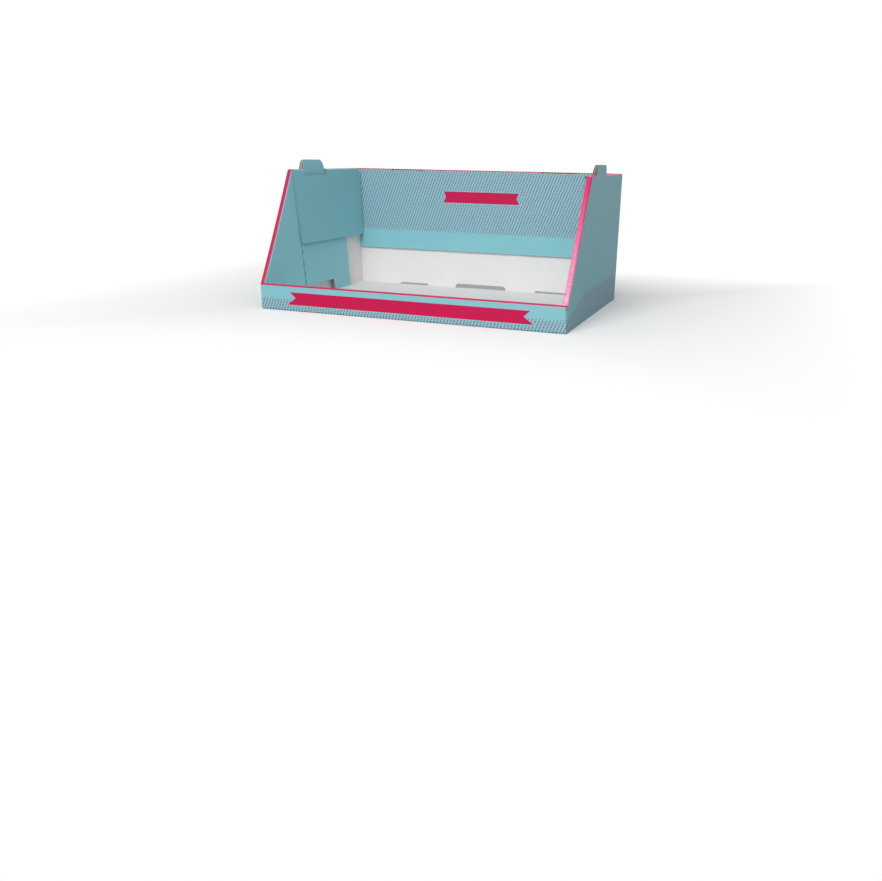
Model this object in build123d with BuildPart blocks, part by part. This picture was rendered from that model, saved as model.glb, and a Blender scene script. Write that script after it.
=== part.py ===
"""Stackable display tray, cut and folded from one sheet of corrugated board.

The origin is at the middle of the underside of the floor. X runs along the front
lip, Y runs from the lip to the back wall, and Z is up. Sizes are in millimetres.
"""

import math
import os

from build123d import *

# Board
board = 3.0  # thickness of the single-wall board
play = 0.4  # air between two layers that lie on each other
fold_radius = 2.5  # radius of a fold at the middle of the board
soft_edge = 1.5  # rounding of the outer corner of the folds on top of the sides

# Outside of the tray
width = 594.0
depth = 398.0
height = 252.0  # underside of the floor to the top folds: the stacking pitch
lip_height = 48.0
slope_run = 118.0  # how far back the sloping front edge of a side reaches
spring = 4.0  # how far each side leans out at the top with nothing stacked on it
rear_corner_radius = 9.0

# Rolled lip and back wall
lip_thickness = 9.0
back_thickness = 9.5
back_panel_foot = 82.0  # height of the free edge of the inner back panel

# Side wall, as insets from its outer face to the inner face of each layer
rim = 10.0  # the sloping fold, and the inner layer where it meets it
foot = 15.0  # the inner layer where it stands on the floor
inner_foot_y = 137.0  # where the upright crease of the inner layer meets the floor
inner_rear_foot_y = 322.0  # rear edge of the inner layer, at the floor
inner_rear_top_y = 300.0  # and at the top
upper_panel_foot = 110.0  # free edge of the panel that hangs from the top fold
upper_panel_rear_y = 386.0
upper_panel_hinge_end = 370.0

# Flaps tucked inside the double walls
back_flap_length = 110.0
front_flap_length = 90.0
front_flap_height = 40.0

# Stacking tab on each side, and the notch and slot that take the tab of the tray below
tab_start = 160.0
tab_end = 240.0
tab_height = 18.0
tab_taper = 6.0
tab_radius = 9.0
tab_gap = 1.0
cut_out_depth = 12.0
cut_out_radius = 5.0
notch_start = 156.0
notch_end = 246.0
notch_height = 21.0
notch_slope = 10.0
notch_radius = 3.0
slot_radius = 2.0

# Slots for the two legs of a header card, in the top fold of the back wall
leg_slot_center = 172.0
leg_slot_length = 75.0

# Slots across the crease between the floor and the back wall
middle_slot_length = 116.0
middle_slot_floor = 8.0
middle_slot_wall = 8.0
side_slit_center = 159.0
side_slit_length = 68.0
side_slit_floor = 3.6
side_slit_wall = 3.0

middle = board / 2
slope_rise = height - lip_height
slope_angle = math.degrees(math.atan2(slope_rise, slope_run - board))


def wall_plane(foot_inset, top_inset):
    """Plane of one layer of the right side: local x runs back, local y runs up."""
    tilt = math.atan2(spring - top_inset + foot_inset, height)
    return Plane(
        origin=(width / 2 - foot_inset, -depth / 2, 0),
        x_dir=(0, 1, 0),
        z_dir=(math.cos(tilt), 0, -math.sin(tilt)),
    )


def wall_point(y, z, inset):
    """Point of the right side, at a distance from the front and inside the outer face."""
    return Vector(width / 2 + spring * z / height - inset, y - depth / 2, z)


def slope_height(y):
    """Height of the sloping edge at a distance from the front."""
    return lip_height + (y - board) * math.tan(math.radians(slope_angle))


def crease_y(z):
    """Distance of the upright inner crease from the front, at a height."""
    return inner_foot_y + (slope_run - inner_foot_y) * z / height


def rear_edge_y(z):
    """Distance of the rear edge of the inner layer from the front, at a height."""
    return inner_rear_foot_y + (inner_rear_top_y - inner_rear_foot_y) * z / height


outer_face = wall_plane(0, 0)
inner_layer_face = wall_plane(foot - board, rim - board)
upper_panel_face = wall_plane(foot + play, rim + play)
back_flap_face = wall_plane(board + play, board + play)

slope_low = wall_point(board, lip_height, rim)
slope_high = wall_point(slope_run, height, rim)
crease_low = wall_point(inner_foot_y, 0, foot)
front_panel_plane = Plane(
    origin=slope_low,
    x_dir=slope_high - slope_low,
    z_dir=(crease_low - slope_low).cross(slope_high - slope_low),
)


def front_panel_point(y, z, inset):
    """Point of the right side in the sketch of the sloping inner front panel."""
    local = front_panel_plane.to_local_coords(wall_point(y, z, inset))
    return (local.X, local.Y)


with BuildPart() as tray:
    # Floor, rolled lip and rolled back wall are one run of board, seen from the side
    with BuildSketch(Plane.YZ):
        with BuildLine() as run_of_board:
            FilletPolyline(
                (depth / 2 - back_thickness + middle, back_panel_foot),
                (depth / 2 - back_thickness + middle, height - middle),
                (depth / 2 - middle, height - middle),
                (depth / 2 - middle, middle),
                (-depth / 2 + middle, middle),
                (-depth / 2 + middle, lip_height - middle),
                (-depth / 2 + lip_thickness - middle, lip_height - middle),
                (-depth / 2 + lip_thickness - middle, board + play),
                radius=fold_radius,
            )
        trace(run_of_board.line, line_width=board)
    extrude(amount=width / 2 + spring)
    split(bisect_by=outer_face.offset(-board), keep=Keep.BOTTOM)

    # The lip ends flush with the side, in front of its edge, below a small open corner
    with BuildSketch(outer_face):
        with BuildLine():
            Polyline(
                (0, fold_radius + middle),
                (0, lip_height - fold_radius - middle),
                (board, lip_height - fold_radius - middle),
                (board, fold_radius + middle - board),
                close=True,
            )
        make_face()
    extrude(amount=-board - middle)

    # Outer layer of the side, with the outer layer of its stacking tab
    with BuildSketch(outer_face) as side_outline:
        with BuildLine():
            Polyline(
                (board, 0),
                (board, lip_height),
                (slope_run, height),
                (depth, height),
                (depth, 0),
                close=True,
            )
        make_face()
        fillet(side_outline.vertices().group_by(Axis.X)[-1].sort_by(Axis.Y)[-1:], rear_corner_radius)
    extrude(amount=-board)
    with BuildSketch(outer_face) as tab_outline:
        with BuildLine():
            Polyline(
                (tab_start, height - board),
                (tab_start + tab_taper, height + tab_height),
                (tab_end - tab_taper, height + tab_height),
                (tab_end, height - board),
                close=True,
            )
        make_face()
        fillet(tab_outline.vertices().group_by(Axis.Y)[-1], tab_radius)
    extrude(amount=-board)

    # Sloping fold from the outer layer to the inner layer
    slope_normal_y = board * math.sin(math.radians(slope_angle))
    slope_normal_z = board * math.cos(math.radians(slope_angle))
    with BuildSketch(outer_face):
        with BuildLine():
            Polyline(
                (board, lip_height),
                (slope_run, height),
                (slope_run + slope_normal_y, height - slope_normal_z),
                (board + slope_normal_y, lip_height - slope_normal_z),
                close=True,
            )
        make_face()
    extrude(amount=-rim)

    # Inner layer in front of the upright crease, from the sloping fold to the floor
    with BuildSketch(front_panel_plane):
        with BuildLine():
            Polyline(
                front_panel_point(lip_thickness - middle, board, rim),
                front_panel_point(lip_thickness - middle, slope_height(lip_thickness - middle) - middle, rim),
                front_panel_point(slope_run, height - middle, rim),
                front_panel_point(crease_y(board), board, foot),
                close=True,
            )
        make_face()
    extrude(amount=board)

    # Inner layer behind the crease, with the inner layer of the tab
    with BuildSketch(inner_layer_face):
        with BuildLine():
            Polyline(
                (crease_y(0), 0),
                (crease_y(height), height - board - play),
                (inner_rear_top_y, height - board - play),
                (rear_edge_y(0), 0),
                close=True,
            )
        make_face()
    extrude(amount=-board)
    with BuildSketch(inner_layer_face) as inner_tab_outline:
        with BuildLine():
            Polyline(
                (tab_start, height - 2 * board),
                (tab_start + tab_taper, height + tab_height),
                (tab_end - tab_taper, height + tab_height),
                (tab_end, height - 2 * board),
                close=True,
            )
        make_face()
        fillet(inner_tab_outline.vertices().group_by(Axis.Y)[-1], tab_radius)
    extrude(amount=-board)

    # Top folds before and behind the tab, and the upper panel that hangs from them
    with BuildSketch(outer_face):
        for start, end in ((slope_run, tab_start - tab_gap), (tab_end + tab_gap, upper_panel_hinge_end)):
            with Locations(((start + end) / 2, height - middle)):
                Rectangle(end - start, board)
    extrude(amount=-rim - play - board)
    with BuildSketch(upper_panel_face) as upper_panel:
        with BuildLine():
            Polyline(
                (crease_y(upper_panel_foot), upper_panel_foot),
                (crease_y(height) + play, height),
                (upper_panel_hinge_end, height),
                (upper_panel_rear_y, height - board),
                (upper_panel_rear_y, upper_panel_foot),
                close=True,
            )
        make_face()
        fillet(upper_panel.vertices().group_by(Axis.Y)[0], cut_out_radius)
    extrude(amount=-board)
    with BuildSketch(upper_panel_face) as cut_out:
        with BuildLine():
            Polyline(
                (tab_start - tab_gap, height + board),
                (tab_start - tab_gap, height - cut_out_depth),
                (tab_end + tab_gap, height - cut_out_depth),
                (tab_end + tab_gap, height + board),
                close=True,
            )
        make_face()
        fillet(cut_out.vertices().group_by(Axis.Y)[0], cut_out_radius)
    extrude(amount=-board, mode=Mode.SUBTRACT)

    # Flap of the back wall, tucked inside the side
    with BuildSketch(back_flap_face):
        with BuildLine():
            Polyline(
                (depth - back_flap_length, board + play),
                (depth - back_flap_length, height - 2 * board),
                (depth - board, height - 2 * board),
                (depth - board, board + play),
                close=True,
            )
        make_face()
    extrude(amount=-board)

    # Flap of the side, tucked inside the lip
    with BuildSketch(Plane.XZ.offset(depth / 2 - board - play)):
        with BuildLine():
            Polyline(
                (width / 2 - middle, board),
                (width / 2 - middle, front_flap_height),
                (width / 2 - front_flap_length, front_flap_height - board),
                (width / 2 - front_flap_length, 2 * board),
                close=True,
            )
        make_face()
    extrude(amount=-board + play)

    # Slot in the floor and notch in the inner layer, for the tab of the tray below
    slot_inner_x = width / 2 - foot - play
    slot_outer_x = width / 2 - board
    with BuildSketch() as floor_slot:
        with Locations(((slot_inner_x + slot_outer_x) / 2, (notch_start + notch_end - depth) / 2)):
            Rectangle(slot_outer_x - slot_inner_x, notch_end - notch_start)
        fillet(floor_slot.vertices().group_by(Axis.X)[0], slot_radius)
    extrude(amount=board + play, mode=Mode.SUBTRACT)
    with BuildSketch(inner_layer_face) as notch:
        with BuildLine():
            Polyline(
                (notch_start, 0),
                (notch_start + notch_slope, notch_height),
                (notch_end - notch_slope / 2, notch_height),
                (notch_end, 0),
                close=True,
            )
        make_face()
        fillet(notch.vertices().group_by(Axis.Y)[-1], notch_radius)
    extrude(amount=-2 * board, mode=Mode.SUBTRACT)

    # Slot for a leg of the header card
    with BuildSketch(Plane.XY.offset(height - board - play)):
        with Locations((leg_slot_center, depth / 2 - (back_thickness + board) / 2)):
            Rectangle(leg_slot_length, back_thickness - board)
    extrude(amount=2 * board, mode=Mode.SUBTRACT)

    # Half of the middle slot and one side slit, across the rear crease
    rear_cuts = (
        (0, middle_slot_length, middle_slot_floor, middle_slot_wall),
        (side_slit_center, side_slit_length, side_slit_floor, side_slit_wall),
    )
    for center, length, floor_reach, wall_reach in rear_cuts:
        with BuildSketch():
            with Locations((center, depth / 2)):
                SlotOverall(length, 2 * (floor_reach + board))
            split(bisect_by=Plane.YZ, keep=Keep.TOP)
        extrude(amount=board + wall_reach / 2, mode=Mode.SUBTRACT)
        with BuildSketch(Plane.XZ.offset(-depth / 2)):
            with Locations((center, 0)):
                SlotOverall(length, 2 * (wall_reach + board))
            split(bisect_by=Plane.YZ, keep=Keep.TOP)
        extrude(amount=board + floor_reach / 2, mode=Mode.SUBTRACT)

    # The creases on top of the side are rounded, and with them its rear edge
    side_edges = tray.edges().filter_by(
        lambda edge: edge.length > 2 * rim and abs(outer_face.to_local_coords(edge.center()).Z) < play
    )
    top_edges = side_edges.filter_by(Axis.Y).sort_by(Axis.Z)[1:3]
    slope_edge = side_edges.filter_by(Axis.Y, reverse=True).sort_by(Axis.Y)[1]
    fillet([slope_edge, *top_edges], soft_edge)

    # The left half is the same as the right half
    mirror(about=Plane.YZ)

tray.part.label = "tray"

os.makedirs("parts", exist_ok=True)
export_step(tray.part, "parts/tray.step")
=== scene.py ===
"""Stackable display tray of printed corrugated board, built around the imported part.

Metres, in the frame of the part: X along the lip, Y from the lip to the back, Z up.
The sheet is built panel by panel: the run of floor, lip and back, and the two sides.
"""

import math

import bmesh
import bpy
from mathutils import Matrix, Vector


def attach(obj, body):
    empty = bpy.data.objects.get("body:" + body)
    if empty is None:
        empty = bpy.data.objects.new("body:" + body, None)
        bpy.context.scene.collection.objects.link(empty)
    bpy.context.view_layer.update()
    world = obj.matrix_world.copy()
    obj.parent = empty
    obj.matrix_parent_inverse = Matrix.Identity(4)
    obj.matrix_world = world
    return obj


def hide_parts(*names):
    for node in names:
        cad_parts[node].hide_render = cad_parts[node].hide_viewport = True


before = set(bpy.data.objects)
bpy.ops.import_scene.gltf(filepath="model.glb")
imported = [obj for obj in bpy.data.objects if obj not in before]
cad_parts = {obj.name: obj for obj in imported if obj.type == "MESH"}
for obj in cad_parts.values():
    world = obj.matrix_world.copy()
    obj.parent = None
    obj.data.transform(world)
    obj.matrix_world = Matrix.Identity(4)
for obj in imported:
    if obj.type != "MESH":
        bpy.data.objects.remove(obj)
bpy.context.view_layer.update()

# Board, and the small distances between its layers
BOARD = 0.003
LINER = 0.00042
CHANNEL = 0.0016
FLUTE_PITCH = 0.0064
FLUTE_STEPS = 8
FLUTE_SUNK = 0.0002
FLUTE_DEPTH = 0.0013
FLUTE_PAPER = 0.00022
FOLD_OUTER = 0.0034
FOLD_STEPS = 6
PLAY = 0.0004
OVERLAP = 0.0002
HAIR = 0.0001
SLIVER = PLAY / 100

# Outside of the tray. The top of a side stands out by SPRING, and at the back by a share of it
WIDTH = 0.594
DEPTH = 0.398
HEIGHT = 0.252
LIP_HEIGHT = 0.048
SLOPE_RUN = 0.118
SPRING = 0.004
REAR_SPRING = 0.3
REAR_CORNER = 0.009

# Rolled lip and back wall
LIP_THICKNESS = 0.009
BACK_THICKNESS = 0.0095
BACK_PANEL_FOOT = 0.082

# Side wall
RIM = 0.010
FOOT = 0.015
INNER_FOOT_Y = 0.137
INNER_REAR_FOOT_Y = 0.322
INNER_REAR_TOP_Y = 0.300
UPPER_PANEL_FOOT = 0.110
UPPER_PANEL_STAND_OFF = 0.002
UPPER_PANEL_REAR_Y = 0.386
UPPER_PANEL_HINGE_END = 0.370
BACK_FLAP_LENGTH = 0.110
FRONT_FLAP_LENGTH = 0.090
FRONT_FLAP_HEIGHT = 0.040

# Stacking tab, and the notch and slot for the tab of the tray below
TAB_START = 0.160
TAB_END = 0.240
TAB_HEIGHT = 0.018
TAB_TAPER = 0.006
TAB_CORNER = 0.009
TAB_GAP = 0.001
CUT_OUT_DEPTH = 0.012
CUT_OUT_CORNER = 0.005
NOTCH_START = 0.156
NOTCH_END = 0.254
NOTCH_HEIGHT = 0.026
NOTCH_SLOPE = 0.010
NOTCH_CORNER = 0.003
SLOT_END = 0.246
SLOT_CORNER = 0.002

# Perforation along the upright crease, torn open below the upper panel
TEAR_GAP = 0.0021
TEAR_REACH = 0.0045
TEAR_WAVES = 5.5
TEAR_EVEN = 0.75
TEAR_COUNT = 45

# Slots of the back wall, and the cuts at its foot: centre, length, reach into the floor, reach up
LEG_SLOT_CENTRE = 0.172
LEG_SLOT_LENGTH = 0.075
REAR_CUTS = (
    (0.0, 0.116, 0.008, 0.008),
    (0.159, 0.068, 0.0036, 0.003),
    (-0.159, 0.068, 0.0036, 0.003),
)
REAR_CUT_ROUNDING = 0.9

# How far cutters stand out of the board, and folded strips run past the corner they are trimmed at
CUTTER_REACH = 0.02
SLOPE_LEAD = 0.014
TOP_LEAD = 0.012

# How the folded and handled tray departs from the flat model. A bow lies between two places:
# across or back in metres, and up as shares of the height of the tray or of the lip
GRID = 0.012
SIDE_GRID_START = 0.27
SIDE_START = 0.25
SIDE_BLEND = 0.03
SIDE_BOW = (0.0013, 0.0009)
SIDE_BOW_BACK = (0.02, DEPTH + 0.03)
SIDE_BOW_UP = (-0.25, 1.3)
BACK_BOW = 0.0012
BACK_BOW_MARGIN = 0.004
BACK_BOW_UP = (0.1, 0.8)
LIP_BOW = 0.0005
LIP_BOW_ACROSS = (-0.42, WIDTH / 2)
LIP_BOW_UP = (0, 1.6)
LIP_END_GAP = 0.0032
LIP_END_RUN = 0.015
FRONT_FLARE = 0.0026
FLARE_RUN = 0.09
FLARE_TOP = 0.20
TAB_PINCH = 0.0022

# How far round each fold its pink print reaches: the least part of a face's direction that is out
LIP_CROWN = 0.3
BACK_CROWN = 0.45
STRIP_CROWN = 0.72
TOP_CROWN = 0.5

# Materials of every piece, in the order of its slots
INNER, UPPER, OUTER, REAR, PINK, WHITE, LIP, BACK, RAW, CORE = range(10)

SLOPE_ANGLE = math.atan2(HEIGHT - LIP_HEIGHT, SLOPE_RUN - BOARD)


def side_point(back, up, inset):
    """Point of the right side: distance from the front, height, and depth inside the outer face."""
    return Vector((WIDTH / 2 + SPRING * up / HEIGHT - inset, back - DEPTH / 2, up))


def layer(foot_inset, top_inset):
    """Function that places a (back, up) point on one layer of the right side."""
    lean = top_inset - foot_inset
    return lambda back, up: side_point(back, up, foot_inset + lean * up / HEIGHT)


def slope_height(back):
    """Height of the sloping edge at a distance from the front."""
    return LIP_HEIGHT + (back - BOARD) * math.tan(SLOPE_ANGLE)


def crease_y(up):
    """How far back the upright crease of a side stands at a height."""
    return INNER_FOOT_Y + (SLOPE_RUN - INNER_FOOT_Y) * up / HEIGHT


def rear_edge_y(up):
    """How far back the inner layer of a side ends at a height."""
    return INNER_REAR_FOOT_Y + (INNER_REAR_TOP_Y - INNER_REAR_FOOT_Y) * up / HEIGHT


def verts_of(items):
    return [item for item in items if isinstance(item, bmesh.types.BMVert)]


def faces_of(items):
    return [item for item in items if isinstance(item, bmesh.types.BMFace)]


def solid(corners, depth, rounding=()):
    """Closed prism from the corners of one face; returns it with that face and the opposite one."""
    bm = bmesh.new()
    points = [bm.verts.new(corner) for corner in corners]
    bm.faces.new(points)
    for distance, picked in rounding:
        bmesh.ops.bevel(
            bm,
            geom=[points[i] for i in picked],
            offset=distance,
            affect="VERTICES",
            segments=FOLD_STEPS,
            profile=0.5,
            material=-1,
        )
    face = bm.faces[:][0]
    made = bmesh.ops.extrude_face_region(bm, geom=[face], use_keep_orig=True)["geom"]
    bmesh.ops.translate(bm, verts=verts_of(made), vec=depth)
    for each in bm.faces:
        each.material_index = RAW
    bmesh.ops.recalc_face_normals(bm, faces=bm.faces[:])
    return bm, face, faces_of(made)[0]


def plate(corners, inward, printed, rounding=()):
    """Flat panel of board, from the corners of its printed face."""
    bm, front, back = solid(corners, inward.normalized() * BOARD, rounding)
    front.material_index = printed
    back.material_index = WHITE
    return bm


def folded(chain, run, inside, paint=None):
    """Board folded along a chain of points of its printed face and drawn along a run.

    The board thickens towards the point inside the fold. The printed faces are pink,
    unless paint picks another material from the middle and the direction of a face.
    """
    bm = bmesh.new()
    start = [bm.verts.new(point) for point in chain]
    edges = [bm.edges.new(pair) for pair in zip(start, start[1:])]
    made = bmesh.ops.extrude_edge_only(bm, edges=edges)["geom"]
    bmesh.ops.translate(bm, verts=verts_of(made), vec=run)
    bmesh.ops.bevel(
        bm,
        geom=[edge for edge in bm.edges if len(edge.link_faces) == 2],
        offset=FOLD_OUTER,
        offset_type="OFFSET",
        affect="EDGES",
        segments=FOLD_STEPS,
        profile=0.5,
        material=-1,
    )
    bmesh.ops.recalc_face_normals(bm, faces=bm.faces[:])
    nearest = min(bm.faces, key=lambda face: (face.calc_center_median() - inside).length)
    if nearest.normal.dot(inside - nearest.calc_center_median()) > 0:
        bmesh.ops.reverse_faces(bm, faces=bm.faces[:])
    printed = bm.faces[:]
    made = bmesh.ops.extrude_face_region(bm, geom=printed, use_keep_orig=True)["geom"]
    bm.normal_update()
    hidden = set(faces_of(made))
    shifts = []
    for vert in verts_of(made):
        normals = [face.normal for face in vert.link_faces if face in hidden]
        mean = sum(normals, Vector()).normalized()
        even = sum(mean.dot(normal) for normal in normals) / len(normals)
        shifts.append((vert, mean * BOARD / even))
    for vert, shift in shifts:
        vert.co -= shift
    bmesh.ops.recalc_face_normals(bm, faces=bm.faces[:])
    shown = set(printed)
    for face in bm.faces:
        face.material_index = WHITE if face in hidden else RAW
        if face in shown:
            face.material_index = paint(face.calc_center_median(), face.normal) if paint else PINK
    return bm


def trim(bm, point, outward):
    """Cuts off what lies beyond a plane, and closes the cut."""
    bmesh.ops.bisect_plane(
        bm,
        geom=bm.verts[:] + bm.edges[:] + bm.faces[:],
        plane_co=point,
        plane_no=outward,
        clear_outer=True,
    )
    made = bmesh.ops.holes_fill(bm, edges=[edge for edge in bm.edges if edge.is_boundary])
    for face in made["faces"]:
        face.material_index = RAW


def join(parts):
    """One bmesh from several."""
    whole = bmesh.new()
    for part in parts:
        mesh = bpy.data.meshes.new("part")
        part.to_mesh(mesh)
        part.free()
        whole.from_mesh(mesh)
        bpy.data.meshes.remove(mesh)
    return whole


def cut(bm, cutters):
    """The solid without the space of each cutter."""
    scene = bpy.context.scene.collection
    mesh = bpy.data.meshes.new("uncut")
    bm.to_mesh(mesh)
    whole = bpy.data.objects.new("uncut", mesh)
    scene.objects.link(whole)
    tools = []
    for cutter in cutters:
        tool_mesh = bpy.data.meshes.new("cutter")
        cutter.to_mesh(tool_mesh)
        cutter.free()
        tool = bpy.data.objects.new("cutter", tool_mesh)
        scene.objects.link(tool)
        tools.append(tool)
        step = whole.modifiers.new("cut", "BOOLEAN")
        step.operation = "DIFFERENCE"
        step.solver = "EXACT"
        step.object = tool
    evaluated = whole.evaluated_get(bpy.context.evaluated_depsgraph_get())
    result = bpy.data.meshes.new_from_object(evaluated)
    bm.clear()
    bm.from_mesh(result)
    for item in tools + [whole]:
        data = item.data
        bpy.data.objects.remove(item)
        bpy.data.meshes.remove(data)
    bpy.data.meshes.remove(result)
    return bm


# The run of floor, lip and back wall

side_tilt = math.atan2(SPRING, HEIGHT)
side_normal = Vector((math.cos(side_tilt), 0, -math.sin(side_tilt)))
mirror_x = Matrix.Scale(-1, 4, (1, 0, 0))
half_run = WIDTH / 2 + SPRING
outer = layer(0, 0)


def paint_run(middle, facing):
    """Material of the printed side of the run at a place, pink along the crowns of its folds."""
    front = middle.y < 0
    if middle.z > (LIP_HEIGHT - FOLD_OUTER if front else HEIGHT - FOLD_OUTER):
        if facing.z > (LIP_CROWN if front else BACK_CROWN):
            return PINK
    elif middle.z < LINER / 2:
        return WHITE
    if front:
        return LIP if middle.y < LIP_THICKNESS / 2 - DEPTH / 2 else INNER
    return BACK if middle.y < DEPTH / 2 - BACK_THICKNESS / 2 else REAR


run_chain = (
    (DEPTH / 2 - BACK_THICKNESS, BACK_PANEL_FOOT),
    (DEPTH / 2 - BACK_THICKNESS, HEIGHT),
    (DEPTH / 2, HEIGHT),
    (DEPTH / 2, 0),
    (-DEPTH / 2, 0),
    (-DEPTH / 2, LIP_HEIGHT),
    (-DEPTH / 2 + LIP_THICKNESS, LIP_HEIGHT),
    (-DEPTH / 2 + LIP_THICKNESS, BOARD + PLAY),
)
run_of_board = folded(
    [Vector((-half_run, y, z)) for y, z in run_chain],
    Vector((2 * half_run, 0, 0)),
    Vector((0, 0, HEIGHT / 4)),
    paint_run,
)

cutters = []
for flip in (Matrix.Identity(4), mirror_x):
    outward = flip.to_3x3() @ side_normal
    trim(run_of_board, flip @ side_point(0, 0, 0), outward)
    side_space = [
        flip @ outer(back, up) + outward * CUTTER_REACH
        for back, up in (
            (BOARD, -CUTTER_REACH),
            (BOARD, HEIGHT + CUTTER_REACH),
            (DEPTH + CUTTER_REACH, HEIGHT + CUTTER_REACH),
            (DEPTH + CUTTER_REACH, -CUTTER_REACH),
        )
    ]
    cutters.append(solid(side_space, -outward * (CUTTER_REACH + BOARD))[0])
    tab_slot = [
        flip @ Vector((x, back - DEPTH / 2, -CUTTER_REACH))
        for x, back in (
            (WIDTH / 2 - FOOT - PLAY, NOTCH_START),
            (WIDTH / 2, NOTCH_START),
            (WIDTH / 2, SLOT_END),
            (WIDTH / 2 - FOOT - PLAY, SLOT_END),
        )
    ]
    through_floor = Vector((0, 0, CUTTER_REACH + 2 * BOARD))
    cutters.append(solid(tab_slot, through_floor, [(SLOT_CORNER, (0, 3))])[0])
    leg_slot = [
        flip @ Vector((LEG_SLOT_CENTRE + end * LEG_SLOT_LENGTH / 2, y, HEIGHT - BOARD - PLAY))
        for end, y in (
            (-1, DEPTH / 2 - BACK_THICKNESS - CUTTER_REACH),
            (1, DEPTH / 2 - BACK_THICKNESS - CUTTER_REACH),
            (1, DEPTH / 2 - BOARD),
            (-1, DEPTH / 2 - BOARD),
        )
    ]
    cutters.append(solid(leg_slot, Vector((0, 0, CUTTER_REACH)))[0])
for centre, length, floor_reach, wall_reach in REAR_CUTS:
    left, right = centre - length / 2, centre + length / 2
    front = DEPTH / 2 - BOARD - floor_reach
    behind = DEPTH / 2 + CUTTER_REACH
    floor_cut = [
        Vector((x, y, -CUTTER_REACH))
        for x, y in ((left, front), (right, front), (right, behind), (left, behind))
    ]
    wall_cut = [
        Vector((x, behind, z))
        for x, z in (
            (left, -CUTTER_REACH),
            (right, -CUTTER_REACH),
            (right, BOARD + wall_reach),
            (left, BOARD + wall_reach),
        )
    ]
    upward = Vector((0, 0, CUTTER_REACH + BOARD + wall_reach / 2))
    forward = Vector((0, -CUTTER_REACH - BOARD - floor_reach / 2, 0))
    cutters.append(solid(floor_cut, upward, [(floor_reach * REAR_CUT_ROUNDING, (0, 1))])[0])
    cutters.append(solid(wall_cut, forward, [(wall_reach * REAR_CUT_ROUNDING, (2, 3))])[0])
run_of_board = cut(run_of_board, cutters)


# The right side


def slope_meets(up, distance):
    """How far back the line below the sloping edge reaches a height."""
    return BOARD + (up - LIP_HEIGHT + distance / math.cos(SLOPE_ANGLE)) / math.tan(SLOPE_ANGLE)


down = Vector((0, 0, -1))
inner = layer(FOOT, RIM)
upper = layer(FOOT + PLAY + BOARD + UPPER_PANEL_STAND_OFF, RIM + PLAY + BOARD)
tucked = layer(BOARD + PLAY, BOARD + PLAY)
top_seam = HEIGHT - FOLD_OUTER
front_seam = BOARD + FOLD_OUTER
tab_top = HEIGHT + TAB_HEIGHT - HAIR
slope_fold_drop = FOLD_OUTER / math.cos(SLOPE_ANGLE)
tab_profile = (
    (TAB_START + TAB_TAPER * -FOLD_OUTER / TAB_HEIGHT, top_seam),
    (TAB_START + TAB_TAPER, tab_top),
    (TAB_END - TAB_TAPER, tab_top),
    (TAB_END + TAB_TAPER * FOLD_OUTER / TAB_HEIGHT, top_seam),
)

outer_plate = plate(
    [
        outer(back, up)
        for back, up in (
            (front_seam, 0),
            (front_seam, slope_height(front_seam) - slope_fold_drop),
            (slope_meets(top_seam, FOLD_OUTER), top_seam),
            *tab_profile,
            (UPPER_PANEL_HINGE_END, top_seam),
            (UPPER_PANEL_HINGE_END, HEIGHT),
            (DEPTH, HEIGHT),
            (DEPTH, 0),
        )
    ],
    -side_normal,
    OUTER,
    [(TAB_CORNER, (4, 5)), (REAR_CORNER, (9,))],
)

slope_low = side_point(BOARD, LIP_HEIGHT, 0)
slope_end = side_point(SLOPE_RUN, HEIGHT, 0)
slope_way = slope_end - slope_low
slope_unit = slope_way.normalized()
panel_edge = side_point(INNER_FOOT_Y, 0, FOOT) - side_point(BOARD, LIP_HEIGHT, RIM)
panel_normal = panel_edge.cross(slope_unit).normalized()
if panel_normal.x > 0:
    panel_normal = -panel_normal
panel_down = slope_unit.cross(panel_normal)
if panel_down.z > 0:
    panel_down = -panel_down
lead = slope_unit * SLOPE_LEAD
outer_down = side_normal.cross(slope_unit)
if outer_down.z > 0:
    outer_down = -outer_down
slope_fold = folded(
    [
        slope_low - lead + outer_down * (FOLD_OUTER + OVERLAP),
        slope_low - lead,
        slope_low - lead - Vector((RIM, 0, 0)),
        slope_low - lead - Vector((RIM, 0, 0)) + panel_down * (FOLD_OUTER + OVERLAP),
    ],
    slope_way + 2 * lead,
    side_point(SLOPE_RUN / 2, slope_height(SLOPE_RUN / 2) - 2 * BOARD, RIM / 2),
    lambda middle, facing: PINK if facing.x > 0 or -facing.dot(panel_down) > STRIP_CROWN else INNER,
)
mitre = (slope_unit + Vector((0, 1, 0))).normalized()
trim(slope_fold, slope_end, mitre)
trim(slope_fold, slope_low, Vector((0, -1, 0)))


def on_front_panel(back, up):
    """Point of the inner front panel, which leans in towards the floor."""
    origin = side_point(BOARD, LIP_HEIGHT, RIM)
    y = back - DEPTH / 2
    rise = panel_normal.y * (y - origin.y) + panel_normal.z * (up - origin.z)
    return Vector((origin.x - rise / panel_normal.x, y, up))


def torn_edge():
    """(back, up) points of the scalloped perforation below the upper panel, from the floor up."""
    points = []
    for step in range(TEAR_COUNT):
        share = step / (TEAR_COUNT - 1)
        up = BOARD + (UPPER_PANEL_FOOT - BOARD) * share
        scallop = (share * TEAR_WAVES) % 1
        bulge = 4 * scallop * (1 - scallop) * (TEAR_EVEN + (1 - TEAR_EVEN) * math.cos(step))
        points.append((crease_y(up) + TEAR_REACH * bulge + TEAR_GAP, up))
    return points


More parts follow.
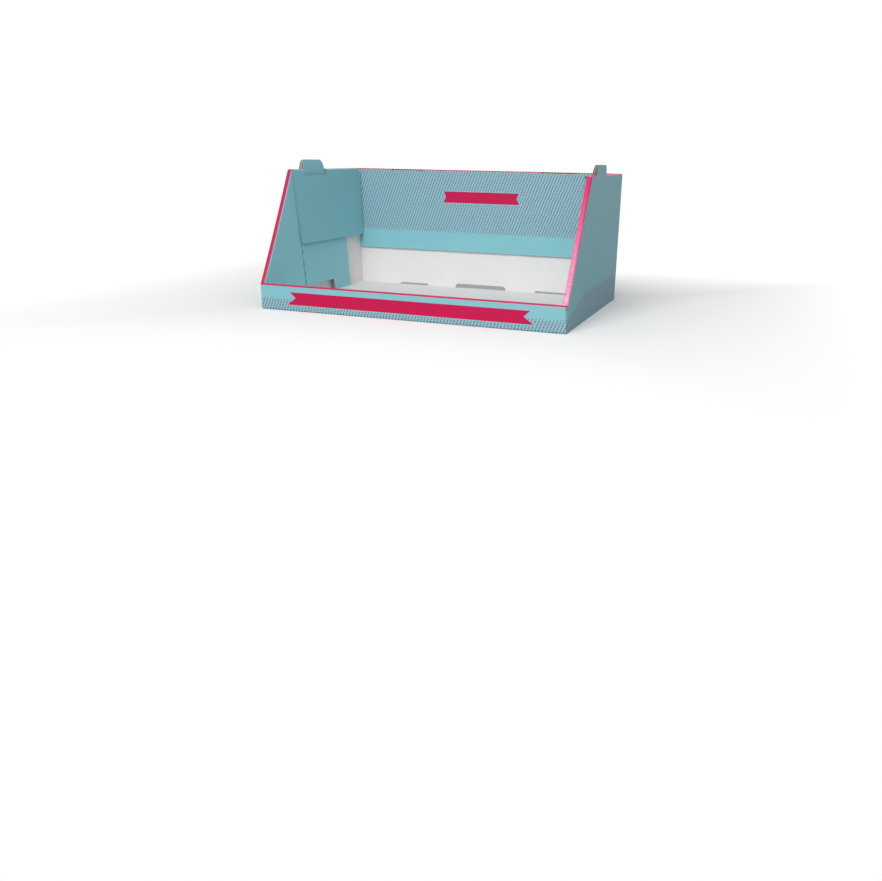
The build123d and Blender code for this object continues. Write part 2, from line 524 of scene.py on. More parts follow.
panel_front = LIP_THICKNESS - BOARD
front_panel = plate(
    [
        on_front_panel(panel_front, BOARD),
        on_front_panel(panel_front, slope_height(panel_front) - slope_fold_drop),
        side_point(SLOPE_RUN, HEIGHT, RIM) + panel_down * FOLD_OUTER,
        on_front_panel(crease_y(BOARD), BOARD),
    ],
    -panel_normal,
    INNER,
)

inner_plate = plate(
    [
        inner(back, up)
        for back, up in (
            *torn_edge(),
            (crease_y(UPPER_PANEL_FOOT) + BOARD, UPPER_PANEL_FOOT + BOARD),
            (crease_y(top_seam) + BOARD, top_seam),
            *tab_profile,
            (INNER_REAR_TOP_Y, top_seam),
            (rear_edge_y(BOARD), BOARD),
            (NOTCH_END, BOARD),
            (NOTCH_END - NOTCH_SLOPE / 2, NOTCH_HEIGHT),
            (NOTCH_START + NOTCH_SLOPE, NOTCH_HEIGHT),
            (NOTCH_START, BOARD),
        )
    ],
    side_normal,
    INNER,
    [
        (TAB_CORNER, (TEAR_COUNT + 3, TEAR_COUNT + 4)),
        (NOTCH_CORNER, (TEAR_COUNT + 9, TEAR_COUNT + 10)),
    ],
)

upper_panel = plate(
    [
        upper(back, up)
        for back, up in (
            (crease_y(UPPER_PANEL_FOOT), UPPER_PANEL_FOOT),
            (crease_y(HEIGHT) + PLAY, top_seam),
            (TAB_START - TAB_GAP, top_seam),
            (TAB_START - TAB_GAP, HEIGHT - CUT_OUT_DEPTH),
            (TAB_END + TAB_GAP, HEIGHT - CUT_OUT_DEPTH),
            (TAB_END + TAB_GAP, top_seam),
            (UPPER_PANEL_HINGE_END, top_seam),
            (UPPER_PANEL_REAR_Y, top_seam - BOARD),
            (UPPER_PANEL_REAR_Y, UPPER_PANEL_FOOT),
        )
    ],
    side_normal,
    UPPER,
    [(CUT_OUT_CORNER, (0, 3, 4, 8))],
)


def paint_top(middle, facing):
    """Pink crown of the folds on top of a side."""
    if facing.z > (TOP_CROWN if facing.x > 0 else 1 - LINER):
        return PINK
    return OUTER if facing.x > 0 else UPPER


across = RIM + PLAY + BOARD
top_folds = []
for start, end in (
    (SLOPE_RUN - TOP_LEAD, TAB_START - TAB_GAP),
    (TAB_END + TAB_GAP, UPPER_PANEL_HINGE_END),
):
    top_fold = folded(
        [
            outer(start, top_seam - OVERLAP),
            outer(start, HEIGHT),
            side_point(start, HEIGHT, across),
            upper(start, top_seam - OVERLAP),
        ],
        Vector((0, end - start, 0)),
        side_point((start + end) / 2, HEIGHT - 2 * BOARD, across / 2),
        paint_top,
    )
    top_folds.append(top_fold)
trim(top_folds[0], slope_end, -mitre)

back_flap = plate(
    [
        tucked(back, up)
        for back, up in (
            (DEPTH - BACK_FLAP_LENGTH, BOARD),
            (DEPTH - BACK_FLAP_LENGTH, HEIGHT - 2 * BOARD),
            (DEPTH - BOARD, HEIGHT - 2 * BOARD),
            (DEPTH - BOARD, BOARD),
        )
    ],
    -side_normal,
    WHITE,
)
flap_y = BOARD + HAIR - DEPTH / 2
half_flap = FRONT_FLAP_HEIGHT / 2
front_corner = folded(
    [
        Vector((WIDTH / 2, flap_y + FOLD_OUTER + OVERLAP, 0)),
        Vector((WIDTH / 2, flap_y, 0)),
        Vector((WIDTH / 2 - FRONT_FLAP_LENGTH, flap_y, 0)),
    ],
    Vector((SPRING * FRONT_FLAP_HEIGHT / HEIGHT, 0, FRONT_FLAP_HEIGHT)),
    Vector((WIDTH / 2 - half_flap, flap_y + half_flap, half_flap)),
    lambda middle, facing: OUTER,
)
trim(front_corner, Vector((0, 0, 0)), down)


def flutes(start, end, across, depth):
    """Wave of paper between the two liners of a cut edge, from the edge of its printed face."""
    bm = bmesh.new()
    length = (end - start).length
    waves = max(1, round(length / FLUTE_PITCH))
    bmesh.ops.create_grid(bm, x_segments=waves * FLUTE_STEPS, y_segments=1, size=0.5)
    swing = BOARD / 2 - LINER
    for vert in bm.verts:
        along = vert.co.x + 0.5
        turn = math.sin(2 * math.pi * waves * along)
        vert.co = (
            start.lerp(end, along)
            + across.normalized() * (BOARD / 2 + swing * turn)
            + depth.normalized() * (FLUTE_SUNK + (vert.co.y + 0.5) * FLUTE_DEPTH)
        )
    bmesh.ops.solidify(bm, geom=bm.faces[:], thickness=FLUTE_PAPER)
    for face in bm.faces:
        face.material_index = RAW
    bmesh.ops.recalc_face_normals(bm, faces=bm.faces[:])
    return bm


def open_edges(bm, even=True):
    """Sinks the middle of every cut edge, so that it shows two liners and a hollow, coloured dark as
    painted shade.
    """
    raw = [face for face in bm.faces if face.material_index == RAW]
    bmesh.ops.inset_region(
        bm, faces=raw, thickness=LINER, depth=0, use_boundary=True, use_even_offset=even
    )
    bmesh.ops.inset_region(
        bm, faces=raw, thickness=LINER / 10, depth=-CHANNEL, use_boundary=True, use_even_offset=even
    )
    for face in raw:
        face.material_index = CORE


def grid(bm, low, high):
    """Cuts a piece along even planes, so that its panels can bow."""
    for axis in range(3):
        normal = Vector([float(axis == other) for other in range(3)])
        steps = round((high[axis] - low[axis]) / GRID)
        for step in range(1, steps):
            bmesh.ops.bisect_plane(
                bm,
                geom=bm.verts[:] + bm.edges[:] + bm.faces[:],
                plane_co=normal * (low[axis] + (high[axis] - low[axis]) * step / steps),
                plane_no=normal,
            )


def swell(value, low, high):
    """A smooth hump between two places, and nothing outside them."""
    part = (value - low) / (high - low)
    return math.sin(math.pi * part) ** 2 if 0 < part < 1 else 0.0


def clamped(value):
    """The value kept between 0 and 1."""
    return min(1, max(0, value))


def settle(point):
    """Moves a point of the flat model to where it lies in the folded and handled tray."""
    back = point.y + DEPTH / 2
    up = point.z / HEIGHT
    up_lip = point.z / LIP_HEIGHT
    side = math.copysign(1, point.x)
    in_side = clamped((abs(point.x) - SIDE_START) / SIDE_BLEND)
    spread = clamped((back - SLOPE_RUN) / (DEPTH - SLOPE_RUN))
    lean = SPRING * up * (1 - REAR_SPRING) * spread
    bow = SIDE_BOW[side > 0] * swell(back, *SIDE_BOW_BACK) * swell(up, *SIDE_BOW_UP)
    point.x -= side * (lean * abs(point.x) / (WIDTH / 2) + bow * in_side)
    in_back = swell(back, DEPTH - BACK_THICKNESS - BACK_BOW_MARGIN, DEPTH + BACK_BOW_MARGIN)
    in_middle = swell(point.x, -WIDTH / 2, WIDTH / 2)
    point.y -= BACK_BOW * in_back * in_middle * swell(up, *BACK_BOW_UP)
    if back < BOARD + HAIR and point.z > 0:
        run_in = max(0, (abs(point.x) - WIDTH / 2 + LIP_END_RUN) / LIP_END_RUN)
        point.x -= side * LIP_END_GAP * clamped(up_lip) * run_in
    if side < 0:
        height_share = clamped(up_lip) * clamped((FLARE_TOP - point.z) / (FLARE_TOP - LIP_HEIGHT))
        point.x += side * FRONT_FLARE * height_share * max(0, 1 - back / FLARE_RUN) * in_side
    if up > 1:
        in_tab = clamped((side_point(back, point.z, 0).x - abs(point.x)) / RIM)
        point.x += side * TAB_PINCH * in_tab * clamped((point.z - HEIGHT) / TAB_HEIGHT)
    if back < LIP_THICKNESS + BOARD:
        point.y += LIP_BOW * swell(point.x, *LIP_BOW_ACROSS) * swell(up_lip, *LIP_BOW_UP)


tab_flat_start = TAB_START + TAB_TAPER + TAB_CORNER
tab_flat_end = TAB_END - TAB_TAPER - TAB_CORNER
all_flutes = [
    flutes(outer(tab_flat_start, tab_top), outer(tab_flat_end, tab_top), -side_normal, down),
    flutes(inner(tab_flat_start, tab_top), inner(tab_flat_end, tab_top), side_normal, down),
    flutes(
        inner(NOTCH_START + NOTCH_SLOPE + NOTCH_CORNER, NOTCH_HEIGHT),
        inner(NOTCH_END - NOTCH_SLOPE / 2 - NOTCH_CORNER, NOTCH_HEIGHT),
        side_normal,
        -down,
    ),
    flutes(
        upper(TAB_START + CUT_OUT_CORNER, HEIGHT - CUT_OUT_DEPTH),
        upper(TAB_END - CUT_OUT_CORNER, HEIGHT - CUT_OUT_DEPTH),
        side_normal,
        down,
    ),
    flutes(
        upper(crease_y(UPPER_PANEL_FOOT) + CUT_OUT_CORNER, UPPER_PANEL_FOOT),
        upper(UPPER_PANEL_REAR_Y - CUT_OUT_CORNER, UPPER_PANEL_FOOT),
        side_normal,
        -down,
    ),
    flutes(
        Vector((WIDTH / 2, -DEPTH / 2, FOLD_OUTER)),
        Vector((WIDTH / 2 + SPRING * LIP_HEIGHT / HEIGHT, -DEPTH / 2, LIP_HEIGHT - FOLD_OUTER)),
        Vector((0, 1, 0)),
        -side_normal,
    ),
]
for torn_plate in (inner_plate, front_panel):
    for face in torn_plate.faces:
        middle = face.calc_center_median()
        near_crease = abs(middle.y + DEPTH / 2 - crease_y(middle.z)) < TEAR_REACH + 2 * TEAR_GAP
        if face.material_index == RAW and near_crease and middle.z < UPPER_PANEL_FOOT:
            face.material_index = INNER
# The front edge of the upper panel takes its print, and with it the painted shade at the crease
for face in upper_panel.faces:
    faces_front = face.normal.y < -0.5
    at_crease = face.calc_center_median().y < SLOPE_RUN + RIM - DEPTH / 2
    if face.material_index == RAW and faces_front and at_crease:
        face.material_index = UPPER

right_side = join(
    [
        outer_plate,
        slope_fold,
        front_panel,
        inner_plate,
        upper_panel,
        *top_folds,
        back_flap,
        front_corner,
    ]
)
open_edges(right_side)
open_edges(run_of_board, even=False)
grid(right_side, (SIDE_GRID_START, -DEPTH / 2, 0), (WIDTH / 2 + SPRING, DEPTH / 2, tab_top))
grid(run_of_board, (-WIDTH / 2, -DEPTH / 2, 0), (WIDTH / 2, DEPTH / 2, HEIGHT))
right_side = join([right_side, *all_flutes])
left_side = right_side.copy()
bmesh.ops.transform(left_side, matrix=mirror_x, verts=left_side.verts[:])
bmesh.ops.reverse_faces(left_side, faces=left_side.faces[:])
for piece in (run_of_board, right_side, left_side):
    bmesh.ops.dissolve_degenerate(piece, dist=SLIVER, edges=piece.edges[:])
    for vert in piece.verts:
        settle(vert.co)


# Materials


def linear(red, green, blue):
    """Scene colour of a printed colour given from 0 to 255."""
    return tuple(
        part / 12.92 if part <= 0.04045 else ((part + 0.055) / 1.055) ** 2.4
        for part in (red / 255, green / 255, blue / 255)
    ) + (1.0,)


# Inks and papers, and lighter and darker copies of them that paint light and shade
TEAL = linear(134, 193, 203)
# Lighter copy of TEAL: painted light on the inside of the sides, below the tab
TEAL_SIDE_PAINTED_LIGHT = linear(141, 201, 211)
# Darker copy of TEAL: painted shade along the front edge of the upper panel, at the upright crease
TEAL_CREASE_SHADE = linear(102, 158, 167)
DOT = linear(136, 104, 126)
PINK_INK = linear(196, 10, 76)
RUBBED_INK = linear(206, 226, 228)
# Lighter pink of the right strip alone: painted light
STRIP_INK_PAINTED_LIGHT = linear(212, 12, 98)
# Pale pink of the cracks, which is wear, and of the painted highlight on the right strip
PINK_WORN_AND_SHEEN = linear(255, 178, 218)
WHITE_PAPER = linear(231, 228, 227)
RAW_PAPER = linear(186, 176, 168)
# Darker copy of the raw paper: painted shade in the sunk middle of the cut edges
HOLLOW_PAINTED_SHADE = linear(104, 94, 88)

# Halftone: the two steps of its lattice, its dots, and the share below which it has none
DOT_ACROSS = Vector((0.00655, 0.00085))
DOT_UP = Vector((0.00205, 0.0051))
DOT_HALF_WIDTH = 0.0012
DOT_HALF_LENGTH = 0.0025
DOT_SOFT = 0.2
DOT_LEAST = 0.45
DOT_GONE = 0.02

# Heights at which the halftone ends; on the outside of a side it rises from front to rear
HALFTONE_FRONT = 0.024
HALFTONE_REAR = 0.056
HALFTONE_RISE_END = 0.126
LIP_HALFTONE = 0.0243
BACK_HALFTONE = 0.120
HALFTONE_FADE = 0.005

# Ribbons: heights of foot, top and notch, then half lengths at the notch, the foot and the top
LIP_RIBBON = (0.0118, 0.0353, 0.0245, 0.2225, 0.241, 0.234)
BACK_RIBBON = (0.1845, 0.208, 0.196, 0.080, 0.087, 0.085)
RIBBON_EDGE = 0.0003
RIBBON_CLEAR = 0.0016

# Paper: scale and detail of each noise, and what each does to tone, relief and gloss
CLOUDS = (7.0, 3.0)
MOTTLES = (150.0, 2.0)
FIBRES = (700.0, 3.0)
FIBRE_STRETCH = (1, 0.45, 0.45)
RIDGE_PATCHES = (24.0, 2.0)
RIDGE_COVER = 0.55
RIDGE_TONE = 0.015
RIDGE_RELIEF = 0.5
MOTTLE_RELIEF = 0.35
FIBRE_RELIEF = 0.2
MOTTLE_GLOSS = 0.12
CLOUD_GLOSS = 0.08
COAT_ROUGHNESS = 0.3

# Wear: specks rubbed off along the folds, and the cracks of the pink folds. The right pink strip
# pales in specks towards its foot, partly wear and partly a painted highlight
RUB_SPECKS = (260.0, 4.0)
RUB_CONTRAST = 5
RUB_SHIFT = 0.25
RUB_REACH = 0.0026
RUB_STRENGTH = 0.7
CRACKS = (420.0, 3.0)
CRACK_CONTRAST = 6
CRACK_SHIFT = 1.35
CRACK_STRENGTH = 0.22
STRIP_SPECKS = (260.0, 3.0)
STRIP_FINE_SPECKS = (900.0, 2.0)
STRIP_CONTRAST = 1.3
STRIP_SHIFT = 0.72
# How the painted highlight spreads down the right strip
STRIP_SHEEN_TOP = 0.96
STRIP_SHEEN_RATE = 1.3
STRIP_SHEEN_CURVE = 1.25


class Term:
    """A value in a material. Arithmetic on it adds Math nodes."""

    def __init__(self, finish, socket):
        self.finish = finish
        self.socket = socket

    def __add__(self, other):
        return self.finish.maths("ADD", self, other)

    __radd__ = __add__

    def __sub__(self, other):
        return self.finish.maths("SUBTRACT", self, other)

    def __rsub__(self, other):
        return self.finish.maths("SUBTRACT", other, self)

    def __mul__(self, other):
        return self.finish.maths("MULTIPLY", self, other)

    __rmul__ = __mul__

    def __truediv__(self, other):
        return self.finish.maths("DIVIDE", self, other)

    def __pow__(self, other):
        return self.finish.maths("POWER", self, other)

    def __abs__(self):
        return self.finish.maths("ABSOLUTE", self)

    def clip(self):
        """The value kept between 0 and 1."""
        return self.finish.maths("ADD", self, 0.0, use_clamp=True)

    def over(self, edge, soft):
        """1 where the value is above an edge, 0 below it, with a soft step between."""
        return ((self - edge) / soft + 0.5).clip()

    def under(self, edge, soft):
        return 1 - self.over(edge, soft)


class Nodes:
    """The nodes of one material or of the world."""

    def __init__(self, tree):
        self.tree = tree

    def node(self, kind, settings=None, links=None, out=0):
        """A node with its settings, then its values and links; returns one of its outputs."""
        made = self.tree.nodes.new(kind)
        for key, value in (settings or {}).items():
            setattr(made, key, value)
        for key, value in (links or {}).items():
            if isinstance(value, Term):
                self.tree.links.new(value.socket, made.inputs[key])
            else:
                made.inputs[key].default_value = value
        return Term(self, made.outputs[out])

    def outputs(self, term, *names):
        """Other outputs of the node that a term comes from."""
        return [Term(self, term.socket.node.outputs[name]) for name in names]

    def show(self, kind, shader):
        """Links a shader to the output of the tree."""
        self.tree.links.new(shader.socket, self.tree.nodes[kind].inputs["Surface"])

    def seen(self):
        """1 for what the camera, a reflection or a view through glass sees, and 0 for light."""
        path = self.node("ShaderNodeLightPath")
        camera_ray, glossy, through = self.outputs(
            path, "Is Camera Ray", "Is Glossy Ray", "Is Transmission Ray"
        )
        return self.most(self.most(camera_ray, glossy), through)

    def maths(self, operation, *values, **settings):
        inputs = dict(enumerate(values))
        return self.node("ShaderNodeMath", {"operation": operation, **settings}, inputs)

    def least(self, first, second):
        return self.maths("MINIMUM", first, second)

    def most(self, first, second):
        return self.maths("MAXIMUM", first, second)

    def noise(self, scale, detail=2.0, stretch=(1, 1, 1)):
        """Noise around 0, from about -0.5 to 0.5."""
        place = self.place
        if stretch != (1, 1, 1):
            place = self.node("ShaderNodeMapping", links={"Vector": place, "Scale": stretch})
        links = {"Vector": place, "Scale": scale, "Detail": detail}
        return self.node("ShaderNodeTexNoise", links=links) - 0.5

    def mix(self, share, first, second):
        """First colour where the share is 0, second where it is 1."""
        inputs = {0: share, 6: first, 7: second}
        return self.node("ShaderNodeMix", {"data_type": "RGBA"}, inputs, out=2)

    def shade(self, colour, amount):
        """The colour made darker or lighter by an amount around 1."""
        grey = self.node("ShaderNodeCombineColor", links={0: amount, 1: amount, 2: amount})
        settings = {"data_type": "RGBA", "blend_type": "MULTIPLY"}
        return self.node("ShaderNodeMix", settings, {0: 1.0, 6: colour, 7: grey}, out=2)


class Finish(Nodes):
    """A material with one surface shader, which reads the place on the piece."""

    def __init__(self, name, roughness=0.5):
        self.material = bpy.data.materials.new(name)
        self.material.use_nodes = True
        super().__init__(self.material.node_tree)
        self.base_roughness = roughness
        self.surface = self.tree.nodes["Principled BSDF"]
        self.place = self.node("ShaderNodeTexCoord", out="Object")
        split = self.node("ShaderNodeSeparateXYZ", links={0: self.place})
        self.x, self.y, self.z = self.outputs(split, "X", "Y", "Z")

    def set(self, **values):
        names = {"colour": "Base Color", "roughness": "Roughness", "normal": "Normal"}
        for key, value in values.items():
            target = self.surface.inputs[names[key]]
            if isinstance(value, Term):
                self.tree.links.new(value.socket, target)
            else:
                target.default_value = value

    def bump(self, height, depth):
        """Relief of the surface: height from 0 to 1, over a depth in metres."""
        links = {"Strength": 1.0, "Distance": depth, "Height": height}
        return self.node("ShaderNodeBump", links=links)


def halftone(finish, along, up, share):
    """Leaning columns of longish dots, at full size where share is 1."""
    cell = DOT_ACROSS.x * DOT_UP.y - DOT_ACROSS.y * DOT_UP.x
    column = along * (DOT_UP.y / cell) - up * (DOT_UP.x / cell)
    row = up * (DOT_ACROSS.x / cell) - along * (DOT_ACROSS.y / cell)
    off_column = column - finish.maths("ROUND", column)
    off_row = row - finish.maths("ROUND", row)
    lean = DOT_UP.normalized()
    off_along = off_column * DOT_ACROSS.x + off_row * DOT_UP.x
    off_up = off_column * DOT_ACROSS.y + off_row * DOT_UP.y
    lengthwise = (off_along * lean.x + off_up * lean.y) / DOT_HALF_LENGTH
    sideways = (off_along * lean.y - off_up * lean.x) / DOT_HALF_WIDTH
    away = (lengthwise * lengthwise + sideways * sideways) ** 0.5
    dots = away.under(DOT_LEAST + (1 - DOT_LEAST) * share, DOT_SOFT)
    return dots * share.over(DOT_GONE, 2 * DOT_GONE)


def ribbon(finish, along, up, ends):
    """How far inside a swallow-tailed ribbon a place is, in metres, and below 0 outside."""
    foot, top, notch_up, notch_end, foot_end, top_end = ends
    tail = finish.most(
        (up - notch_up) * ((top_end - notch_end) / (top - notch_up)),
        (notch_up - up) * ((foot_end - notch_end) / (notch_up - foot)),
    )
    inside_ends = notch_end + tail - abs(along)
    return finish.least(finish.least(up - foot, top - up), inside_ends)


def paper(finish, colour, wave, grain=0.05, cloud=0.06, mottle=0.03, wave_depth=0.00006):
    """Surface of a liner: clouded colour, fine fibres and faint ridges of the flutes beneath."""
    clouds = finish.noise(*CLOUDS)
    mottles = finish.noise(*MOTTLES)
    fibres = finish.noise(*FIBRES, stretch=FIBRE_STRETCH)
    ridges = finish.maths("SINE", wave * (2 * math.pi / FLUTE_PITCH)) * 0.5
    patchy = (finish.noise(*RIDGE_PATCHES) + RIDGE_COVER).clip()
    tone = 1 + clouds * cloud + mottles * mottle + fibres * grain + ridges * patchy * RIDGE_TONE
    relief = 0.5 + ridges * patchy * RIDGE_RELIEF + mottles * MOTTLE_RELIEF + fibres * FIBRE_RELIEF
    finish.set(
        colour=finish.shade(colour, tone),
        roughness=finish.base_roughness + mottles * MOTTLE_GLOSS + clouds * CLOUD_GLOSS,
        normal=finish.bump(relief, wave_depth),
    )


def rubbed(finish, colour, *distances):
    """The print rubbed pale in specks along folds; each distance is 0 on its fold."""
    specks = (finish.noise(*RUB_SPECKS) * RUB_CONTRAST - RUB_SHIFT).clip()
    near = 0
    for distance in distances:
        near = finish.most(near, (1 - abs(distance) / RUB_REACH).clip())
    return finish.mix(specks * near * RUB_STRENGTH, colour, RUBBED_INK)


materials = []


def add(finish, coat=0.0, specular=0.25):
    """Takes a finish into the slots of every piece."""
    finish.surface.inputs["Coat Weight"].default_value = coat
    finish.surface.inputs["Coat Roughness"].default_value = COAT_ROUGHNESS
    finish.surface.inputs["Specular IOR Level"].default_value = specular
    materials.append(finish.material)


def from_crease(finish):
    """How far behind the upright crease of a side a place is."""
    return finish.y + DEPTH / 2 - INNER_FOOT_Y + finish.z * ((INNER_FOOT_Y - SLOPE_RUN) / HEIGHT)


def from_slope(finish):
    """How far below the sloping edge of a side a place is."""
    back = finish.y + DEPTH / 2 - BOARD
    return (LIP_HEIGHT + back * math.tan(SLOPE_ANGLE) - finish.z) * math.cos(SLOPE_ANGLE)


inside = Finish("side_inside_print", roughness=0.55)
# Painted light: the inside of a side is lighter than the lip's teal, and only the tab keeps that
# teal
inside_ink_painted_light = inside.mix(inside.z.over(HEIGHT - CUT_OUT_DEPTH, BOARD), TEAL_SIDE_PAINTED_LIGHT, TEAL)
worn_ink = rubbed(inside, inside_ink_painted_light, from_crease(inside), from_slope(inside) - FOLD_OUTER)
paper(inside, worn_ink, inside.y)
add(inside)

upper_print = Finish("upper_panel_print", roughness=0.55)
# Painted shade: the front edge of the upper panel, at the crease, is a darker teal
crease_shaded_ink = upper_print.mix(from_crease(upper_print).under(LINER, LINER), TEAL, TEAL_CREASE_SHADE)
from_foot, from_top = upper_print.z - UPPER_PANEL_FOOT, upper_print.z - HEIGHT
worn_ink = rubbed(upper_print, crease_shaded_ink, from_foot, from_top)
paper(upper_print, worn_ink, upper_print.y)
add(upper_print)

outside = Finish("side_outside_print", roughness=0.55)
rise = ((outside.y + DEPTH / 2) / HALFTONE_RISE_END).clip() * (HALFTONE_REAR - HALFTONE_FRONT)
share = ((rise + HALFTONE_FRONT - outside.z) / HALFTONE_FADE).clip()
print_colour = outside.mix(halftone(outside, outside.y, outside.z, share), TEAL, DOT)
to_rear = outside.y - DEPTH / 2
worn_ink = rubbed(outside, print_colour, outside.z, from_slope(outside), to_rear)
paper(outside, worn_ink, outside.y)
add(outside)

rear = Finish("back_outside_print", roughness=0.55)
share = ((HALFTONE_REAR - rear.z) / HALFTONE_FADE).clip()
print_colour = rear.mix(halftone(rear, rear.x, rear.z, share), TEAL, DOT)
worn_ink = rubbed(rear, print_colour, rear.z, rear.z - HEIGHT, abs(rear.x) - WIDTH / 2)
paper(rear, worn_ink, rear.z)
add(rear)

pink = Finish("pink_fold_print", roughness=0.42)
specks = pink.noise(*STRIP_SPECKS) * STRIP_CONTRAST + pink.noise(*STRIP_FINE_SPECKS)
speckle = (specks + STRIP_SHIFT).clip()
# Painted light: only the right strip is a lighter pink, and it pales in specks towards its foot,
# partly wear and partly a painted highlight
on_right_strip = pink.x.over(WIDTH / 2 - 2 * RIM, LINER) * pink.z.over(LIP_HEIGHT, LINER)
below_top = STRIP_SHEEN_TOP - pink.z / HEIGHT
painted_sheen = (below_top * STRIP_SHEEN_RATE).clip() ** STRIP_SHEEN_CURVE * on_right_strip
cracks = (pink.noise(*CRACKS) * CRACK_CONTRAST - CRACK_SHIFT).clip() * CRACK_STRENGTH
pink_with_lit_strip = pink.mix(on_right_strip, PINK_INK, STRIP_INK_PAINTED_LIGHT)
paper(pink, pink.mix(pink.most(speckle * painted_sheen, cracks), pink_with_lit_strip, PINK_WORN_AND_SHEEN), pink.y)
add(pink, coat=0.15)

white = Finish("white_liner", roughness=0.65)
paper(white, WHITE_PAPER, white.x + white.z, grain=0.09, cloud=0.06, mottle=0.07)
add(white)

lip = Finish("lip_print", roughness=0.5)
band = ribbon(lip, lip.x, lip.z, LIP_RIBBON)
share = ((LIP_HALFTONE - lip.z) / HALFTONE_FADE).clip() * band.under(-RIBBON_CLEAR, RIBBON_EDGE)
print_colour = lip.mix(halftone(lip, lip.x, lip.z, share), TEAL, DOT)
print_colour = lip.mix(band.over(0, RIBBON_EDGE), print_colour, PINK_INK)
paper(lip, rubbed(lip, print_colour, lip.z, lip.z - LIP_HEIGHT, abs(lip.x) - WIDTH / 2), lip.z)
add(lip)

back = Finish("back_print", roughness=0.5)
band = ribbon(back, back.x, back.z, BACK_RIBBON)
share = ((back.z - BACK_HALFTONE) / HALFTONE_FADE).clip() * band.under(-RIBBON_CLEAR, RIBBON_EDGE)
print_colour = back.mix(halftone(back, back.x, back.z, share), TEAL, DOT)
print_colour = back.mix(band.over(0, RIBBON_EDGE), print_colour, PINK_INK)
paper(back, rubbed(back, print_colour, back.z - HEIGHT, back.z - BACK_PANEL_FOOT), back.z)
add(back)

raw = Finish("cut_edge", roughness=0.85)
paper(raw, RAW_PAPER, raw.y, grain=0.25, cloud=0.1, mottle=0.15, wave_depth=0.0001)
add(raw, specular=0.1)

# Painted shade: the sunk middle of every cut edge is a darker copy of the raw paper
core = Finish("edge_hollow_painted_shade", roughness=0.9)
paper(core, HOLLOW_PAINTED_SHADE, core.y, grain=0.3, cloud=0.2, mottle=0.15, wave_depth=0.0001)
add(core, specular=0.1)


def finish_piece(name, bm):
    """The finished mesh as a piece that rides with the tray."""
    mesh = bpy.data.meshes.new(name)
    bm.to_mesh(mesh)
    bm.free()
    for material in materials:
        mesh.materials.append(material)
    piece = bpy.data.objects.new(name, mesh)
    bpy.context.scene.collection.objects.link(piece)
    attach(piece, "root")
    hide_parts("tray")


finish_piece("floor_lip_and_back", run_of_board)
finish_piece("right_side", right_side)
finish_piece("left_side", left_side)


# Camera, lights and floor

CAMERA_PLACE = (0.6386, -1.5546, 0.2847)
CAMERA_ANGLES = (71.923, -0.837, 20.098)
CAMERA_LENS = 34.409
CAMERA_SENSOR = 36
CAMERA_SHIFT_X = -0.0460
CAMERA_SHIFT_Y = -0.0124

camera = bpy.data.objects.new("camera", bpy.data.cameras.new("camera"))
bpy.context.scene.collection.objects.link(camera)
bpy.context.scene.camera = camera
camera.data.sensor_fit = "HORIZONTAL"
camera.data.sensor_width = CAMERA_SENSOR
camera.data.lens = CAMERA_LENS
camera.data.shift_x = CAMERA_SHIFT_X
camera.data.shift_y = CAMERA_SHIFT_Y
camera.location = CAMERA_PLACE
camera.rotation_euler = [math.radians(angle) for angle in CAMERA_ANGLES]

bpy.context.scene.view_settings.view_transform = "Standard"

# To the eye, the floor shows the tray's shadow up to NEAR_SIDE from it, and is white past FAR_SIDE
WORLD_STRENGTH = 0.36
STUDIO_WHITE = (1, 1, 1, 1)
FLOOR_SIZE = 40
FLOOR_ALBEDO = 0.5
NEAR_SIDE = 0.05
FAR_SIDE = 0.45
SHADOW_STRENGTH = 0.95

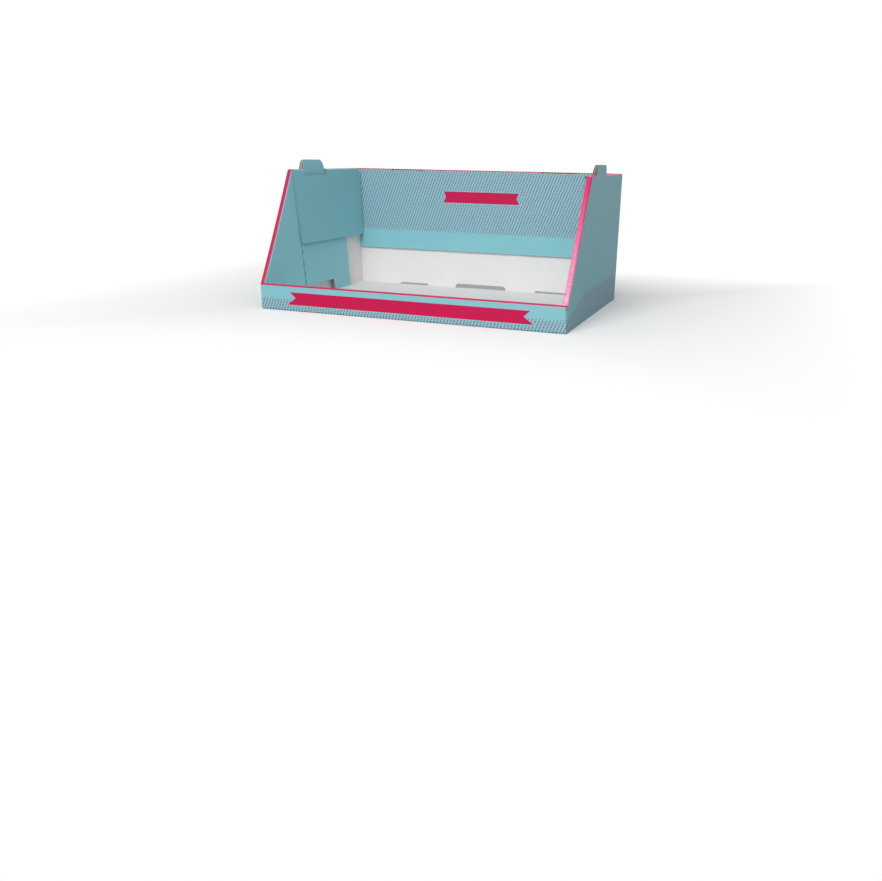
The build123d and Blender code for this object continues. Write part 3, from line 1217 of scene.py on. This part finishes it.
world = bpy.data.worlds.new("studio")
bpy.context.scene.world = world
world.use_nodes = True
sky = Nodes(world.node_tree)
ambient = sky.node("ShaderNodeBackground", links={"Color": STUDIO_WHITE, "Strength": WORLD_STRENGTH})
backdrop = sky.node("ShaderNodeBackground", links={"Color": STUDIO_WHITE, "Strength": 1.0})
whole_sky = sky.node("ShaderNodeMixShader", links={0: sky.seen(), 1: ambient, 2: backdrop})
sky.show("World Output", whole_sky)

floor_bm = bmesh.new()
bmesh.ops.create_grid(floor_bm, x_segments=1, y_segments=1, size=FLOOR_SIZE)
floor_mesh = bpy.data.meshes.new("studio_floor")
floor_bm.to_mesh(floor_mesh)
floor_bm.free()
floor = bpy.data.objects.new("studio_floor", floor_mesh)
bpy.context.scene.collection.objects.link(floor)

ground = Finish("studio_floor")
matte = ground.node("ShaderNodeBsdfDiffuse", links={"Color": (FLOOR_ALBEDO,) * 3 + (1,)})
glow = ground.node("ShaderNodeEmission", links={"Color": STUDIO_WHITE, "Strength": 1.0})
beyond = ground.most(abs(ground.x) - WIDTH / 2, abs(ground.y) - DEPTH / 2)
from_tray = ((beyond - NEAR_SIDE) / (FAR_SIDE - NEAR_SIDE)).clip()
sheet = ground.node("ShaderNodeBsdfDiffuse", links={"Color": STUDIO_WHITE})
white_share = (1 - (1 - from_tray) * SHADOW_STRENGTH) * beyond.over(0, BOARD)
seen_floor = ground.node("ShaderNodeMixShader", links={0: white_share, 1: sheet, 2: glow})
whole_floor = ground.node("ShaderNodeMixShader", links={0: ground.seen(), 1: matte, 2: seen_floor})
ground.show("Material Output", whole_floor)
floor_mesh.materials.append(ground.material)

# Lamps: name, place, size and power in watts; all of them face one point
LOOKED_AT = Vector((0, 0, 0.1))
LAMPS = (
    ("key_lamp", (-0.1, -2.1, 1.5), 1.2, 28.5),
    ("fill_lamp", (0.5, -1.9, 1.2), 1.2, 15.0),
    ("top_lamp", (0.2, 0.1, 2.4), 1.4, 4.0),
)
for name, place, size, power in LAMPS:
    lamp = bpy.data.objects.new(name, bpy.data.lights.new(name, "AREA"))
    lamp.data.shape = "SQUARE"
    lamp.data.size = size
    lamp.data.energy = power
    lamp.location = place
    lamp.rotation_euler = (LOOKED_AT - lamp.location).to_track_quat("-Z", "Y").to_euler()
    bpy.context.scene.collection.objects.link(lamp)
